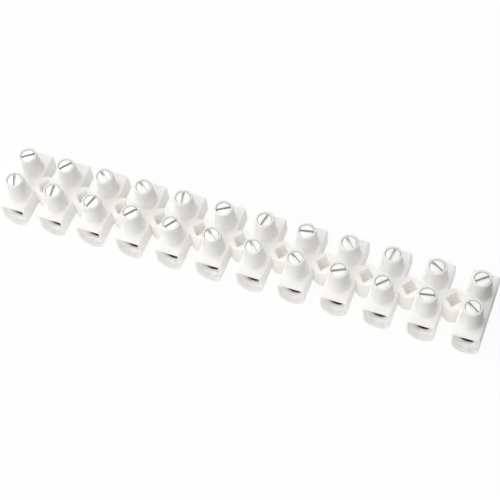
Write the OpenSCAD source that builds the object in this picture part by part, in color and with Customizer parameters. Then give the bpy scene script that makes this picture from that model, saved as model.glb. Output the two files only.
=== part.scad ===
// Screw terminal strip: a white one-piece moulding with a row of pole blocks, a brass clamp
// pushed into each pole, and two slotted screws standing in chimneys above each clamp.
// The underside lies on z = 0, the strip runs along x and the wires enter along y.

/* [Strip] */
// Number of poles along the strip
pole_count = 12; // [2:1:12]
// Distance from one pole to the next
pole_pitch = 11.6; // [11:0.1:16]
// Distance between the front and the back row of screws
row_spacing = 8.5; // [7.6:0.1:9.2]

/* [Brass clamp] */
// Outer diameter of the brass tube
clamp_d = 5.5; // [5:0.1:6]
// Length of the brass tube
clamp_l = 13.9; // [13:0.1:18]
// Diameter of the wire way through the tube
wire_bore_d = 3.8; // [2.8:0.1:4]
// Gap between the tube and its seat in the moulding, all round
clamp_clear = 0.1; // [0.05:0.01:0.2]
// Chamfer on the rims of the tube
clamp_chamfer = 0.3; // [0.1:0.05:0.4]

/* [Pole block] */
// Wall beside the clamp's seat
side_wall = 0.75; // [0.6:0.05:1.1]
// Wall over the clamp's seat
roof_wall = 1.8; // [1.2:0.1:2.4]
// Width of the flat sole along the half-round underside
sole_w = 1.6; // [0.8:0.1:2.4]
// Radius of the long upper edges
top_edge_r = 0.3; // [0.1:0.05:0.4]

/* [Wire mouth] */
// Thickness of the rim round each mouth
mouth_rim = 0.4; // [0.3:0.05:0.6]
// Depth of the funnel behind the rim
funnel_depth = 2.4; // [1.5:0.1:3]
// Thickness of the lip that keeps the clamp from sliding out
lip_t = 0.2; // [0.2:0.05:1]

/* [Chimney] */
// Height of the chimneys above the pole block
chimney_h = 6.7; // [5:0.1:9]
// Wall of a chimney at its rim
chimney_wall = 0.5; // [0.4:0.05:0.8]
// Draft of a chimney's outside, in degrees
chimney_draft = 2.6; // [0.5:0.1:3.5]
// Radius of the rim's outer edge
rim_edge_r = 0.25; // [0.1:0.05:0.35]
// Radius of the fillet at a chimney's foot
foot_fillet_r = 0.5; // [0.2:0.05:0.6]

/* [Fixing eye] */
// Diameter of the fixing hole
fixing_hole_d = 3; // [2:0.1:3]
// Length of the hole's diamond mouth, corner to corner along the strip
diamond_w = 4; // [3.6:0.1:4.3]
// Length of the hole's diamond mouth, corner to corner across the strip
diamond_l = 4.7; // [4.6:0.1:6]
// Thickness of the floor under the diamond mouth
eye_floor = 2.6; // [1.5:0.1:4]
// Wall of the eye in front of the diamond's corner
eye_wall = 0.75; // [0.5:0.05:1.2]
// Height of the eye, down from the top of the pole block
eye_h = 6.7; // [5:0.1:7.2]
// Width of the web that joins the eye to the poles
web_w = 4; // [3:0.1:4.2]

/* [Screw] */
// Outer diameter of the thread
thread_d = 3; // [2.5:0.1:3.2]
// Gap between the thread and its hole in the clamp, all round
thread_clear = 0.12; // [0.1:0.01:0.2]
// Diameter of the head
head_d = 3.7; // [3.4:0.1:3.9]
// Height of the head
head_h = 2.4; // [1.5:0.1:3.2]
// Gap between the head and the chimney, all round
head_clear = 0.15; // [0.12:0.01:0.3]
// Depth of the head below the chimney's rim
head_recess = 0.3; // [0:0.05:1]
// Chamfer on the head's edge
head_chamfer = 0.1; // [0.05:0.05:0.4]
// Width of the driver slot
slot_w = 0.7; // [0.4:0.05:1]
// Depth of the driver slot
slot_depth = 1; // [0.5:0.05:1.3]
// Chamfer at the screw's tip
tip_chamfer = 0.5; // [0.2:0.05:0.8]
// Gap between the tip and the crown of the open wire way
tip_clear = 0.05; // [0.02:0.01:0.2]

/* [Hidden] */
$fn = 64;

// How far a cutter reaches past the face that it cuts
over = 1;

// Turn of each screw's slot about its own axis, in degrees from the strip's length
front_slot_turns = [115, 100, 75, 50, 55, 140, 135, 145, 25, 45, 10, 145];
back_slot_turns = [35, 50, 140, 140, 105, 30, 80, 10, 130, 85, 150, 40];

// Clamp and its seat
wire_r = wire_bore_d / 2;
seat_r = clamp_d / 2 + clamp_clear;
seat_l = clamp_l + 2 * clamp_clear;

// Pole block: a half-round underside about the clamp's axis, and upright sides above it
block_r = seat_r + side_wall;
block_rise = seat_r + roof_wall;
axis_z = sqrt(block_r ^ 2 - (sole_w / 2) ^ 2);
block_h = axis_z + block_rise;
block_l = seat_l + 2 * (lip_t + funnel_depth);

// Mouth of the wire way, inside its rim
mouth_r = block_r - mouth_rim;
mouth_rise = block_rise - mouth_rim;
funnel_r = norm([mouth_r, mouth_rise]);
funnel_slope = (funnel_r - wire_r) / funnel_depth;

// Chimney round the screw's head
chimney_bore_r = head_d / 2 + head_clear;
chimney_top_r = chimney_bore_r + chimney_wall;
chimney_foot_r = chimney_top_r + chimney_h * tan(chimney_draft);
foot_fillet = min(foot_fillet_r, block_r - top_edge_r - chimney_foot_r);
strip_top = block_h + chimney_h;

// Screw, from its tip above the wire way to its head below the rim
thread_r = thread_d / 2;
tapped_r = thread_r + thread_clear;
head_r = head_d / 2;
tip_z = axis_z + wire_r + tip_clear;
screw_l = strip_top - head_recess - tip_z;
shank_l = screw_l - head_h;

// Fixing eye, hung from the top of the pole blocks
eye_r = diamond_l / 2 + eye_wall;
eye_z = block_h - eye_h;

poles = [0 : pole_count - 1];
gaps = [0 : pole_count - 2];
function pole_x(i) = (i - (pole_count - 1) / 2) * pole_pitch;
function gap_x(i) = pole_x(i) + pole_pitch / 2;

function numbered(name, i) = str(name, i < 9 ? "0" : "", i + 1);
clamp_names = [for (i = poles) numbered("clamp_", i)];
front_screw_names = [for (i = poles) numbered("front_screw_", i)];
back_screw_names = [for (i = poles) numbered("back_screw_", i)];

// Upright section about the clamp's axis: half-round below, straight sides above
module u_section(r, rise, edge_r) {
    circle(r);
    translate([-r, 0])
        square([2 * r, rise - edge_r]);
    translate([edge_r - r, 0])
        square([2 * (r - edge_r), rise]);
    for (side = [-1, 1])
        translate([side * (r - edge_r), rise - edge_r])
            circle(edge_r);
}

// Runs an upright section along y, from y = 0 to the front
module along_y(l) {
    rotate([90, 0, 0])
        linear_extrude(l)
            children();
}

// Half section of a chimney, with a filleted foot and a round rim
module chimney_section() {
    root = roof_wall / 2;
    polygon([
        [0, -root],
        [chimney_foot_r, -root],
        [chimney_foot_r, foot_fillet],
        [chimney_top_r, chimney_h - rim_edge_r],
        [0, chimney_h - rim_edge_r]
    ]);
    difference() {
        square([chimney_foot_r + foot_fillet, foot_fillet]);
        translate([chimney_foot_r + foot_fillet, foot_fillet])
            circle(foot_fillet);
    }
    translate([0, chimney_h - 2 * rim_edge_r])
        square([chimney_top_r - rim_edge_r, 2 * rim_edge_r]);
    translate([chimney_top_r - rim_edge_r, chimney_h - rim_edge_r])
        circle(rim_edge_r);
}

module pole_body() {
    translate([0, block_l / 2, axis_z])
        along_y(block_l)
            difference() {
                u_section(block_r, block_rise, top_edge_r);
                translate([-block_r, -axis_z - over])
                    square([2 * block_r, over]);
            }
    for (side = [-1, 1])
        translate([0, side * row_spacing / 2, block_h])
            rotate_extrude()
                chimney_section();
}

// Funnel behind the front mouth: a cone cut off by the mouth's own outline
module funnel() {
    translate([0, funnel_depth - block_l / 2, axis_z])
        intersection() {
            along_y(funnel_depth + over)
                u_section(mouth_r, mouth_rise, top_edge_r);
            rotate([90, 0, 0])
                cylinder(h = funnel_depth + over, r1 = wire_r, r2 = funnel_r + over * funnel_slope);
        }
}

module pole_cuts() {
    translate([0, seat_l / 2, axis_z])
        rotate([90, 0, 0])
            cylinder(h = seat_l, r = seat_r);
    translate([0, block_l / 2, axis_z])
        rotate([90, 0, 0])
            cylinder(h = block_l, r = wire_r);
    for (turn = [0, 180])
        rotate([0, 0, turn])
            funnel();
    for (side = [-1, 1])
        translate([0, side * row_spacing / 2, axis_z])
            cylinder(h = strip_top - axis_z + over, r = chimney_bore_r);
}

module eye_body() {
    translate([0, 0, eye_z]) {
        cylinder(h = eye_h, r = eye_r);
        translate([-pole_pitch / 2, -web_w / 2, 0])
            cube([pole_pitch, web_w, eye_h]);
    }
}

module eye_cuts() {
    cylinder(h = block_h + over, d = fixing_hole_d);
    translate([0, 0, eye_z + eye_floor])
        linear_extrude(eye_h)
            polygon([
                [diamond_w / 2, 0],
                [0, diamond_l / 2],
                [-diamond_w / 2, 0],
                [0, -diamond_l / 2]
            ]);
}

// The moulding: pole blocks, chimneys and fixing eyes in one piece
module housing() {
    color("white")
        difference() {
            union() {
                for (i = poles)
                    translate([pole_x(i), 0, 0])
                        pole_body();
                for (i = gaps)
                    translate([gap_x(i), 0, 0])
                        eye_body();
            }
            for (i = poles)
                translate([pole_x(i), 0, 0])
                    pole_cuts();
            for (i = gaps)
                translate([gap_x(i), 0, 0])
                    eye_cuts();
        }
}

// Brass tube with a through wire way and two tapped holes from above
module clamp(i) {
    color("goldenrod")
        translate([pole_x(i), 0, axis_z])
            difference() {
                rotate([90, 0, 0])
                    rotate_extrude()
                        polygon([
                            [wire_r, -clamp_l / 2],
                            [clamp_d / 2 - clamp_chamfer, -clamp_l / 2],
                            [clamp_d / 2, clamp_chamfer - clamp_l / 2],
                            [clamp_d / 2, clamp_l / 2 - clamp_chamfer],
                            [clamp_d / 2 - clamp_chamfer, clamp_l / 2],
                            [wire_r, clamp_l / 2]
                        ]);
                for (side = [-1, 1])
                    translate([0, side * row_spacing / 2, 0])
                        cylinder(h = clamp_d, r = tapped_r);
            }
}

// Slotted screw, with its tip on z = 0
module screw() {
    neck = head_r - thread_r;
    difference() {
        rotate_extrude()
            polygon([
                [0, 0],
                [thread_r - tip_chamfer, 0],
                [thread_r, tip_chamfer],
                [thread_r, shank_l - neck],
                [head_r, shank_l],
                [head_r, screw_l - head_chamfer],
                [head_r - head_chamfer, screw_l],
                [0, screw_l]
            ]);
        translate([-head_d / 2 - over, -slot_w / 2, screw_l - slot_depth])
            cube([head_d + 2 * over, slot_w, slot_depth + over]);
    }
}

module row_screw(i, side, turns) {
    color("silver")
        translate([pole_x(i), side * row_spacing / 2, tip_z])
            rotate([0, 0, turns[i]])
                screw();
}

housing();
for (i = poles) {
    clamp(i);
    row_screw(i, -1, front_slot_turns);
    row_screw(i, 1, back_slot_turns);
}
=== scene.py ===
# %% [markdown]
# # A strip of screw terminals
#
# The real thing is a row of twelve terminals in one white moulding. Every pole holds a drilled brass clamp, and
# two slotted screws in chimneys press the wires down in it. The solids come from CAD and already have the right
# form, so this lesson leaves them in place. It gives each one a finish, cuts true threads on the screws, and then
# lights and frames the strip as a catalogue picture does.

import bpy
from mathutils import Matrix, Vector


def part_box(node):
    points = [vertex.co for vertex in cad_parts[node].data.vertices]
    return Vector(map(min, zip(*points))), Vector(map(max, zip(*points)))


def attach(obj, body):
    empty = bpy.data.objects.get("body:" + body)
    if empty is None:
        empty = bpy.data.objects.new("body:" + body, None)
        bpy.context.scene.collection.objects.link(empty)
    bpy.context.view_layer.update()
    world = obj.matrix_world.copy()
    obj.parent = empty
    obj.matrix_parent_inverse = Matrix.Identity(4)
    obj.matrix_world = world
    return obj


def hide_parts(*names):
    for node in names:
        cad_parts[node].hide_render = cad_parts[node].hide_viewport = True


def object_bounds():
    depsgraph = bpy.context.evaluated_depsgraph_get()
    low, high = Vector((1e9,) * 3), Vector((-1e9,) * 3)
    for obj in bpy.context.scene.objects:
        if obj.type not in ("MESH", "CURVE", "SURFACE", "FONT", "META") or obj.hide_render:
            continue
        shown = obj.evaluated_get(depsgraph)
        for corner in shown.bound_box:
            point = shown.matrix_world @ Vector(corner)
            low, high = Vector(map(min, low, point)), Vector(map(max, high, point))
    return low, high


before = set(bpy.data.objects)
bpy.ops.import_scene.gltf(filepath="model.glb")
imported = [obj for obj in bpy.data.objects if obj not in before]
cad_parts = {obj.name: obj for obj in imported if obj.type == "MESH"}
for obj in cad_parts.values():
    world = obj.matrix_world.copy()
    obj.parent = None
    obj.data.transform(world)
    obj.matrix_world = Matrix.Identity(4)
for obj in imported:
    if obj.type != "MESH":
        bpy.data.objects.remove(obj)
cad_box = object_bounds()

# %% [markdown]
# ## Measures
#
# Makers give sizes in millimetres, and Blender works in metres. The poles' places could be typed in again, but
# then they would go wrong when the part changes. So they are measured from the boxes of the clamps.

# %% Measure the strip
import math

import bmesh
import bpy
import numpy as np
from mathutils import Matrix, Vector

MM = 0.001
clamp_names = sorted(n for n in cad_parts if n.startswith("clamp_"))
screw_names = sorted(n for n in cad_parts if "_screw_" in n)


def middle(node):
    low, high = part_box(node)
    return (low + high) / 2


pole_places = [middle(n) for n in clamp_names]
pole_pitch = pole_places[1].x - pole_places[0].x
clamp_axis_z = pole_places[0].z
print(f"{len(pole_places)} poles, {pole_pitch / MM:.2f} mm apart, wire ways {clamp_axis_z / MM:.2f} mm up")

# %% [markdown]
# ## Shader maths in plain Python
#
# A finish is a small sum over the surface: a noise here, a ring pattern there, scaled and added. Wiring that by
# hand takes a line for each link. One class that wraps an output socket lets the sum be written as Python, and
# adds the Math or Vector Math node for each operator. Every other node comes from one method.


# %% A socket that can be reckoned with
class Socket:
    """An output in a node tree. With no output, it only starts a tree."""

    def __init__(self, tree, output=None):
        self.tree = tree
        self.output = output

    def node(self, kind, settings=None, inputs=None, output=0):
        """Adds any node: its settings first, then the values or the links of its sockets."""
        made = self.tree.nodes.new(kind)
        for name, value in (settings or {}).items():
            setattr(made, name, value)
        for name, value in (inputs or {}).items():
            if isinstance(value, Socket):
                self.tree.links.new(value.output, made.inputs[name])
            else:
                made.inputs[name].default_value = value
        return Socket(self.tree, made.outputs[output] if made.outputs else None)

    def reckon(self, operation, *terms):
        kind = "ShaderNodeVectorMath" if self.output.type == "VECTOR" else "ShaderNodeMath"
        return self.node(kind, {"operation": operation}, dict(enumerate(terms)))

    def __add__(self, other):
        return self.reckon("ADD", self, other)

    def __radd__(self, other):
        return self.reckon("ADD", other, self)

    def __sub__(self, other):
        return self.reckon("SUBTRACT", self, other)

    def __rsub__(self, other):
        return self.reckon("SUBTRACT", other, self)

    def __mul__(self, other):
        return self.reckon("MULTIPLY", self, other)

    def __rmul__(self, other):
        return self.reckon("MULTIPLY", other, self)

    def between(self, low, high):
        """A colour from low to high, by this value."""
        return self.node("ShaderNodeMix", {"data_type": "RGBA"}, {0: self, 6: low, 7: high}, 2)


print("sockets now take +, - and *, from either side")

# %% [markdown]
# Each finish starts as an empty tree and ends in one Principled shader. A value that is the same all over goes
# straight onto the shader's socket, because an exported model keeps it only there.


# %% Start and close a finish
def new_finish(name):
    material = bpy.data.materials.new(name)
    material.use_nodes = True
    material.node_tree.nodes.clear()
    return material, Socket(material.node_tree)


def close_finish(start, inputs):
    shader = start.node("ShaderNodeBsdfPrincipled", {}, inputs)
    start.node("ShaderNodeOutputMaterial", {}, {"Surface": shader})


def noise(place, grain_mm, detail=2.0):
    """Noise whose lumps are about that many millimetres across."""
    return place.node("ShaderNodeTexNoise", {}, {"Vector": place, "Scale": 1 / (grain_mm * MM), "Detail": detail})


def step(value, low, high):
    """0 below low, 1 above high and smooth between. Where low is the greater of the two, it falls instead."""
    return value.node("ShaderNodeMapRange", {"interpolation_type": "SMOOTHSTEP"}, {
        "Value": value, "From Min": low, "From Max": high})


def part_of(place, axis):
    return place.node("ShaderNodeSeparateXYZ", {}, {0: place}, axis)


def maths(operation, value):
    return value.node("ShaderNodeMath", {"operation": operation}, {0: value})


print("finish helpers are ready, and lengths in them are in metres")

# %% [markdown]
# ## The white moulding
#
# The strip is moulded in a soft white plastic that lets some light through, so shadows in it stay pale and thin
# walls glow a little. A plain white shader would look like plaster. Subsurface scattering carries the light
# through the walls. The tool's fine spark grain and the slow waves of shrinkage go into the bump, and the gloss
# changes a little from place to place. A Bevel node softens the moulded edges.

# %% Finish of the moulding
SCATTER = 1.6 * MM
MOULDED_EDGE_R = 0.12 * MM
RELIEF_DEPTH = 0.03 * MM
CREAM_WHITE, CLEAR_WHITE = (0.962, 0.955, 0.938, 1), (0.975, 0.968, 0.952, 1)
moulding, start = new_finish("white_moulding")
place = start.node("ShaderNodeTexCoord", output="Object")
clouds = noise(place, 14, 3.0)
grain = noise(place, 0.28, 3.0)
waves = noise(place, 5, 1.0)
soft_edges = start.node("ShaderNodeBevel", {"samples": 4}, {"Radius": MOULDED_EDGE_R})
relief = start.node("ShaderNodeBump", {}, {
    "Strength": 0.5, "Distance": RELIEF_DEPTH, "Height": grain * 0.35 + waves, "Normal": soft_edges})
close_finish(start, {
    "Base Color": clouds.between(CREAM_WHITE, CLEAR_WHITE),
    "Roughness": 0.36 + clouds * 0.12 + grain * 0.06,
    "Normal": relief,
    "IOR": 1.5,
    "Subsurface Weight": 1.0,
    "Subsurface Radius": (1.0, 0.97, 0.92),
    "Subsurface Scale": SCATTER})
print("finish:", moulding.name, len(moulding.node_tree.nodes), "nodes")

# %% [markdown]
# ## The brass clamps
#
# The clamps are lengths of drawn brass rod, drilled through and tapped. Only the wire way shows in the mouths, as
# a dark slit: the drill leaves rings in it, and towards its ends the wire way is painted a dark brown, as painted
# shade that stands in for the shadow deep in the mouths. All clamps share one finish, so it needs the distance
# from each clamp's own axis. The place along the strip is folded to one pitch, and that distance follows.

# %% Distance from the nearest clamp's axis
brass, start = new_finish("clamp_brass")
place = start.node("ShaderNodeTexCoord", output="Object")
poles_along = (part_of(place, "X") - pole_places[0].x) * (1 / pole_pitch) + 0.5
aside = (maths("FRACT", poles_along) - 0.5) * pole_pitch
above = part_of(place, "Z") - clamp_axis_z
from_axis = maths("SQRT", aside * aside + above * above)
print(f"clamp axes folded to one pitch of {pole_pitch / MM:.2f} mm")

# %% Finish of the clamps
WAY_R, WAY_EDGE_R = 2.0 * MM, 2.2 * MM
# painted shade: along the wire way it begins at the first half-length and is full at the second
BRIGHT_HALF, SHADE_HALF = 2.5 * MM, 5.0 * MM
DRILL_FEED = 0.25 * MM
DARK_BRASS, BRIGHT_BRASS = (0.42, 0.27, 0.10, 1), (0.74, 0.54, 0.25, 1)
# painted shade: the dark brown painted into the ends of the wire way, for the shadow in the mouths
WAY_SHADE_BROWN = (0.05, 0.04, 0.026, 1)
along_way = part_of(place, "Y")
tarnish = noise(place, 3, 4.0)
# painted shade: towards the wire way's ends the metal is painted dark brown, less metallic and rougher
painted_way_shade = step(from_axis, WAY_EDGE_R, WAY_R) * step(maths("ABSOLUTE", along_way), BRIGHT_HALF, SHADE_HALF)
pits = noise(place, 0.2, 2.0)
drill_rings = maths("SINE", along_way * (2 * math.pi / DRILL_FEED) + tarnish * 6.0)
relief = start.node("ShaderNodeBump", {}, {
    "Strength": 0.4, "Distance": 0.01 * MM, "Height": drill_rings * 0.5 + pits})
close_finish(start, {
    "Base Color": painted_way_shade.between(tarnish.between(DARK_BRASS, BRIGHT_BRASS), WAY_SHADE_BROWN),
    "Metallic": 1.0 - painted_way_shade * 0.75,
    "Roughness": 0.3 + tarnish * 0.25 + painted_way_shade * 0.3,
    "Normal": relief})
print("finish:", brass.name, len(brass.node_tree.nodes), "nodes")

# %% [markdown]
# ## The plated screws
#
# The screws are steel with a bright plating. Their sizes come first, because the finish follows them: each screw
# will be its own object, with its origin at its tip, so object coordinates give the distance from the axis and
# the height at once. The measures repeat those of the CAD solid, and its length is read from the frame.

# %% Sizes of a screw
screw_low, screw_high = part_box(screw_names[0])
SCREW_L = screw_high.z - screw_low.z
THREAD_R = 1.5 * MM
THREAD_PITCH = 0.5 * MM
THREAD_DEPTH = 0.29 * MM
TIP_R = 1.0 * MM
HEAD_R = 1.85 * MM
HEAD_H = 2.4 * MM
NECK_H = HEAD_R - THREAD_R
HEAD_CHAMFER = 0.1 * MM
SLOT_W = 0.7 * MM
SLOT_DEPTH = 1.0 * MM
EDGE_BREAK = 0.04 * MM
NECK_Z = SCREW_L - HEAD_H - NECK_H
STEPS_ROUND = 48
print(f"screw {SCREW_L / MM:.2f} mm long, threaded up to {NECK_Z / MM:.2f} mm")

# %% [markdown]
# A lathe faces the head, which leaves rings about the axis, and the plating has a fine bloom. On the walls of the
# driver slot the saw left a rough grain, and the walls are painted duller and darker with depth, as painted shade
# in the slot. A point of the walls lies below the head's face, above the slot's floor and inside the head's rim.

# %% Where the slot's walls are
steel, start = new_finish("screw_steel")
place = start.node("ShaderNodeTexCoord", output="Object")
across = place * (1.0, 1.0, 0.0)
radius = across.node("ShaderNodeVectorMath", {"operation": "LENGTH"}, {0: across}, "Value")
below_face = SCREW_L - part_of(place, "Z")
RIM_OUT, RIM_IN = HEAD_R - 0.02 * MM, HEAD_R - 0.06 * MM
FLOOR_LOW, FLOOR_HIGH = SLOT_DEPTH - 0.03 * MM, SLOT_DEPTH - 0.1 * MM
# painted shade: depths over which the slot walls go from plated to painted dark
SHADE_FROM, SHADE_AT = 0.2 * MM, 0.95 * MM
inside_rim = step(radius, RIM_OUT, RIM_IN)
above_floor = step(below_face, FLOOR_LOW, FLOOR_HIGH)
# painted shade: the slot walls darken and lose their metal sheen with depth
painted_slot_shade = step(below_face, SHADE_FROM, SHADE_AT) * above_floor * inside_rim
print(f"slot walls: down to {SLOT_DEPTH / MM:.2f} mm, inside a radius of {HEAD_R / MM:.2f} mm")

# %% Finish of the screws
TURNING_FEED = 0.16 * MM
SILVER, BRIGHT_SILVER = (0.84, 0.84, 0.83, 1), (0.94, 0.94, 0.93, 1)
# painted shade: the grey painted onto the deep slot walls
SLOT_SHADE_STEEL = (0.42, 0.42, 0.412, 1)
bloom = noise(place, 0.9, 3.0)
specks = noise(place, 0.12, 2.0)
turning_marks = maths("SINE", radius * (2 * math.pi / TURNING_FEED) + bloom * 2.5)
relief = start.node("ShaderNodeBump", {}, {
    "Strength": 0.5, "Distance": 0.012 * MM, "Height": turning_marks * 0.5 + specks})
close_finish(start, {
    "Base Color": painted_slot_shade.between(bloom.between(SILVER, BRIGHT_SILVER), SLOT_SHADE_STEEL),
    "Metallic": 1.0 - painted_slot_shade * 0.85,
    "Roughness": 0.24 + bloom * 0.12 + specks * 0.08 + painted_slot_shade * 0.35,
    "Normal": relief})
print("finish:", steel.name, len(steel.node_tree.nodes), "nodes")

# %% [markdown]
# The moulding and the clamps keep their CAD shapes, so all they need is a finish in their material slots. The
# screws get theirs later, together with their threads.


# %% Dress the moulding and the clamps
def wear(node, material):
    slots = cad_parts[node].data.materials
    slots.clear()
    slots.append(material)


wear("housing", moulding)
for name in clamp_names:
    wear(name, brass)
print("dressed: the moulding and", len(clamp_names), "clamps")

# %% [markdown]
# ## Threads
#
# The CAD screws have plain shanks. A thread is one helix, so its points are laid out along the helix: going once
# round also climbs one pitch, and every row of points stays on one crest or one root. At the tip the thread is
# cut back by the chamfer's cone, and below the head it runs out. Points past either end fall together and are
# merged. The profile gives each row's share of the pitch and its share of the depth.

# %% Shape the threaded shank
THREAD_PROFILE = [(0.0, 0.0), (0.14, 0.0), (0.5, 1.0), (0.64, 1.0)]


def thread_radius(z, depth_share):
    run_out = min(1.0, (NECK_Z - z) / THREAD_PITCH)
    return min(THREAD_R - THREAD_DEPTH * depth_share * run_out, TIP_R + z)


def add_thread(bm):
    """Adds the shank from the tip to the neck, as rows of points that climb with the helix."""
    laps = math.ceil(NECK_Z / THREAD_PITCH) + 2
    rows = [(lap - 1 + share, depth) for lap in range(laps) for share, depth in THREAD_PROFILE]
    grid = []
    for climb, depth in rows:
        ring = []
        for i in range(STEPS_ROUND):
            turn = i / STEPS_ROUND
            z = min(max((climb + turn) * THREAD_PITCH, 0.0), NECK_Z)
            r = thread_radius(z, depth)
            angle = 2 * math.pi * turn
            ring.append(bm.verts.new((r * math.cos(angle), r * math.sin(angle), z)))
        grid.append(ring)
    lap_rows = len(THREAD_PROFILE)
    for k in range(len(grid) - 1):
        for i in range(STEPS_ROUND):
            if i + 1 < STEPS_ROUND:
                right = (grid[k][i + 1], grid[k + 1][i + 1])
            elif k + 1 + lap_rows < len(grid):
                right = (grid[k + lap_rows][0], grid[k + 1 + lap_rows][0])
            else:
                continue
            bm.faces.new((grid[k][i], right[0], right[1], grid[k + 1][i]))


print(f"thread: {NECK_Z / THREAD_PITCH:.1f} turns, {len(THREAD_PROFILE)} rows of points to a turn")

# %% [markdown]
# ## Heads
#
# A head is a turned disc with a chamfer, and the slot is sawn across it. Building the slotted disc point by point
# is slow work, while a boolean cut of a closed turned shape is what the saw does. The edges that the saw and the
# lathe leave are then broken with a narrow bevel, which catches the light.


# %% Turn and saw the head
def turned_head():
    """A closed turned solid from the neck to the top of the head."""
    outline = [(THREAD_R, NECK_Z), (HEAD_R, NECK_Z + NECK_H), (HEAD_R, SCREW_L - HEAD_CHAMFER),
               (HEAD_R - HEAD_CHAMFER, SCREW_L)]
    bm = bmesh.new()
    rings = []
    for r, z in outline:
        angles = [2 * math.pi * i / STEPS_ROUND for i in range(STEPS_ROUND)]
        rings.append([bm.verts.new((r * math.cos(a), r * math.sin(a), z)) for a in angles])
    for low, high in zip(rings, rings[1:]):
        for i in range(STEPS_ROUND):
            after = (i + 1) % STEPS_ROUND
            bm.faces.new((low[i], low[after], high[after], high[i]))
    bm.faces.new(rings[-1])
    bm.faces.new(reversed(rings[0]))
    return bm


def as_object(bm, name):
    mesh = bpy.data.meshes.new(name)
    bm.to_mesh(mesh)
    bm.free()
    made = bpy.data.objects.new(name, mesh)
    bpy.context.scene.collection.objects.link(made)
    return made


def saw_slot(head):
    """Cuts the driver slot along x and gives the cut mesh."""
    bm = bmesh.new()
    bmesh.ops.create_cube(bm, size=1.0)
    bmesh.ops.scale(bm, vec=(4 * HEAD_R, SLOT_W, 2 * SLOT_DEPTH), verts=bm.verts)
    bmesh.ops.translate(bm, vec=(0, 0, SCREW_L), verts=bm.verts)
    saw = as_object(bm, "slot_saw")
    cut = head.modifiers.new("slot", "BOOLEAN")
    cut.operation, cut.solver, cut.object = "DIFFERENCE", "EXACT", saw
    bpy.context.view_layer.update()
    shaped = bpy.data.meshes.new_from_object(head.evaluated_get(bpy.context.evaluated_depsgraph_get()))
    for tool in (head, saw):
        bpy.data.objects.remove(tool)
    return shaped

# %% Join the head and the thread
BROKEN_FROM, SHARP_FROM = math.radians(30), math.radians(38)


def screw_mesh():
    """The whole screw, closed: the head with broken edges, the thread and the flat tip."""
    shaped = saw_slot(as_object(turned_head(), "turned_head"))
    bm = bmesh.new()
    bm.from_mesh(shaped)
    bpy.data.meshes.remove(shaped)
    hair = 0.001 * MM
    floor_faces = [f for f in bm.faces if all(v.co.z < NECK_Z + hair for v in f.verts)]
    bmesh.ops.delete(bm, geom=floor_faces, context="FACES_ONLY")
    edges = [e for e in bm.edges if e.is_manifold and e.calc_face_angle() > BROKEN_FROM]
    bmesh.ops.bevel(bm, geom=edges, offset=EDGE_BREAK, segments=2, profile=0.5, affect="EDGES", clamp_overlap=True)
    add_thread(bm)
    bmesh.ops.remove_doubles(bm, verts=bm.verts, dist=hair)
    bmesh.ops.dissolve_degenerate(bm, edges=bm.edges, dist=hair)
    tip_edges = [e for e in bm.edges if e.is_boundary and all(v.co.z < hair for v in e.verts)]
    bmesh.ops.edgeloop_fill(bm, edges=tip_edges)
    bmesh.ops.recalc_face_normals(bm, faces=bm.faces)
    open_edges = sum(not e.is_manifold for e in bm.edges)
    mesh = bpy.data.meshes.new("threaded_screw")
    bm.to_mesh(mesh)
    bm.free()
    mesh.shade_smooth()
    mesh.set_sharp_from_angle(angle=SHARP_FROM)
    mesh.materials.append(steel)
    print("screw mesh:", len(mesh.polygons), "faces, open edges:", open_edges)
    return mesh


threaded_screw = screw_mesh()

# %% [markdown]
# ## Screws in their places
#
# Every screw of the real strip stopped at its own turn, so each slot points its own way. The CAD solids know
# those turns: the corners of a slot's floor spread furthest along the slot, and that direction is read from them.


# %% Put the screws in
def slot_turn(node):
    """The turn of a CAD screw's slot from the x axis."""
    points = np.array([v.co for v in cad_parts[node].data.vertices])
    floor_z = points[:, 2].max() - SLOT_DEPTH
    corners = points[abs(points[:, 2] - floor_z) < 0.01 * MM][:, :2]
    spread = np.linalg.svd(corners - corners.mean(0), full_matrices=False)[2][0]
    return math.atan2(spread[1], spread[0])


for name in screw_names:
    low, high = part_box(name)
    screw = bpy.data.objects.new(f"threaded_{name}", threaded_screw.copy())
    bpy.context.scene.collection.objects.link(screw)
    tip = Vector(((low.x + high.x) / 2, (low.y + high.y) / 2, low.z))
    screw.matrix_world = Matrix.Translation(tip) @ Matrix.Rotation(slot_turn(name), 4, "Z")
    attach(screw, name)
    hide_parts(name)
print("threaded screws:", len(screw_names))

# %% [markdown]
# ## Floor and daylight
#
# Catalogue pictures stand the object on a white sheet under wide soft lamps. To the camera and in reflections,
# the floor here is mostly plain white, with a share that still takes the light, so the strip's shadow stays. To
# the light itself the floor is an ordinary pale sheet, with a dark card beyond the right end: photographers lay
# one there to give a white object a shaded side. The world does the same: white where it is seen, and a sky that
# is dark on the right where it acts as a lamp.

# %% What the camera and the reflections see
PLAIN_WHITE = (1, 1, 1, 1)


def seen(start):
    """1 for rays from the camera, a reflection or a clear material, otherwise 0."""
    camera, glossy, clear = (start.node("ShaderNodeLightPath", output=kind)
                             for kind in ("Is Camera Ray", "Is Glossy Ray", "Is Transmission Ray"))
    return start.node("ShaderNodeMath", {"operation": "ADD", "use_clamp": True}, {0: camera + glossy, 1: clear})


print("plain white where it is seen:", PLAIN_WHITE[:3])

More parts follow.
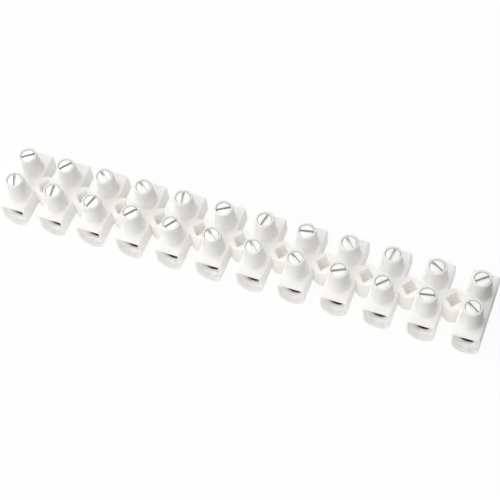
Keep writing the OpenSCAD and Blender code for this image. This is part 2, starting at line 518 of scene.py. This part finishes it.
# %% Floor
FLOOR_GLOW = 0.92
PAPER, PALE_PAPER = (0.93, 0.93, 0.925, 1), (0.95, 0.95, 0.945, 1)
DARK_CARD = (0.02, 0.02, 0.02, 1)
CARD_FROM, CARD_FULL = 2.5 * MM, 22 * MM
strip_end = cad_box[1][0]
sheet, start = new_finish("white_sheet")
place = start.node("ShaderNodeTexCoord", output="Object")
fibres = noise(place, 2, 4.0)
card = step(part_of(place, "X"), strip_end + CARD_FROM, strip_end + CARD_FULL) * (1.0 - seen(start))
paper = start.node("ShaderNodeBsdfPrincipled", {}, {
    "Base Color": card.between(fibres.between(PAPER, PALE_PAPER), DARK_CARD),
    "Roughness": 1.0,
    "Specular IOR Level": 0.0})
glow = start.node("ShaderNodeEmission", {}, {"Color": PLAIN_WHITE, "Strength": 1.0})
mixed = start.node("ShaderNodeMixShader", {}, {0: seen(start) * FLOOR_GLOW, 1: paper, 2: glow})
start.node("ShaderNodeOutputMaterial", {}, {"Surface": mixed})
bm = bmesh.new()
bmesh.ops.create_grid(bm, x_segments=1, y_segments=1, size=2.0)
floor = as_object(bm, "floor")
floor.data.materials.append(sheet)
print("floor: a sheet of", floor.dimensions.x, "m")

# %% World
BRIGHT_SIDE = (0.888, 0.876, 0.85, 1)
DARK_SIDE = (0.0, 0.0, 0.0, 1)
DIMS_FROM, DARK_FROM = 0.3, 0.9
world = bpy.data.worlds.new("studio")
bpy.context.scene.world = world
world.use_nodes = True
world.node_tree.nodes.clear()
start = Socket(world.node_tree)
rightward = part_of(start.node("ShaderNodeTexCoord", output="Generated"), "X")
bright, dark, white = (start.node("ShaderNodeBackground", {}, {"Color": tint, "Strength": 1.0})
                       for tint in (BRIGHT_SIDE, DARK_SIDE, PLAIN_WHITE))
sky = start.node("ShaderNodeMixShader", {}, {0: step(rightward, DIMS_FROM, DARK_FROM), 1: bright, 2: dark})
mixed = start.node("ShaderNodeMixShader", {}, {0: seen(start), 1: sky, 2: white})
start.node("ShaderNodeOutputWorld", {}, {"Surface": mixed})
print("world: from", BRIGHT_SIDE[:3], "to", DARK_SIDE[:3], "on the right")

# %% [markdown]
# ## Lamps
#
# In the picture the tops are the brightest faces, the fronts follow, and the right end falls into shade. One
# softbox in front and high up reaches down into the fixing eyes. One at the back left lights the webs and the
# back row. A weak low one stands close by and fills the mouths. Each is given by its azimuth from the front, its
# height angle, its distance and size in metres, and its power in watts.


# %% Soft lamps
def outward(azimuth, height):
    """Direction from the strip, by degrees to the right of the front and degrees above the floor."""
    a, h = math.radians(azimuth), math.radians(height)
    return Vector((math.sin(a) * math.cos(h), -math.cos(a) * math.cos(h), math.sin(h)))


LAMPS = {
    "front_softbox": (-3, 66, 0.60, 0.35, 0.42),
    "back_softbox": (-110, 55, 1.20, 0.60, 1.25),
    "low_softbox": (-28, 16, 0.30, 0.22, 0.135)}
WARM_WHITE = (1.0, 0.985, 0.955)
strip_middle = Vector((0, 0, clamp_axis_z))
for name, (azimuth, height, distance, size, watts) in LAMPS.items():
    lamp = bpy.data.lights.new(name, "AREA")
    lamp.shape, lamp.size, lamp.energy, lamp.color = "DISK", size, watts, WARM_WHITE
    softbox = bpy.data.objects.new(name, lamp)
    bpy.context.scene.collection.objects.link(softbox)
    softbox.location = strip_middle + distance * outward(azimuth, height)
    softbox.rotation_euler = outward(azimuth, height).to_track_quat("Z", "Y").to_euler()
print("lamps:", ", ".join(LAMPS))

# %% [markdown]
# White plastic throws back nearly all the light that meets it, so the hollows between the chimneys are lit by
# light that has already met many walls. Cut short after a few bounces, it would leave them grey.

# %% Longer ways for the light
bpy.context.scene.cycles.diffuse_bounces = 16
bpy.context.scene.cycles.max_bounces = 24
print("diffuse bounces:", bpy.context.scene.cycles.diffuse_bounces)

# %% [markdown]
# ## Camera
#
# The camera stands where the photograph's lens stood. Its angles and distance were found by fitting the
# twenty-four screw heads and the blocks' edges. They are given about a point in the middle of the heads' plane.

# %% Camera at the photograph's place
AZIMUTH, HEIGHT, ROLL = 29.357, 58.324, math.radians(-9.995)
DISTANCE, SIDEWAYS, UPWARDS = 330.11 * MM, 3.086 * MM, -5.951 * MM
LENS_MM = 91.414
back = outward(AZIMUTH, HEIGHT)
level = Vector((0, 0, 1)).cross(back).normalized()
upright = back.cross(level)
right = math.cos(ROLL) * level + math.sin(ROLL) * upright
up = math.cos(ROLL) * upright - math.sin(ROLL) * level
heads_middle = Vector((0, 0, screw_high.z))

camera = bpy.data.objects.new("camera", bpy.data.cameras.new("camera"))
bpy.context.scene.collection.objects.link(camera)
camera.data.lens = LENS_MM
camera.data.sensor_width = 36
axes = Matrix((right, up, back)).transposed().to_4x4()
camera.matrix_world = Matrix.Translation(
    heads_middle + SIDEWAYS * right + UPWARDS * up + DISTANCE * back) @ axes
bpy.context.scene.camera = camera
bpy.context.scene.view_settings.view_transform = "Standard"
print("camera at", [round(v, 4) for v in camera.matrix_world.translation])
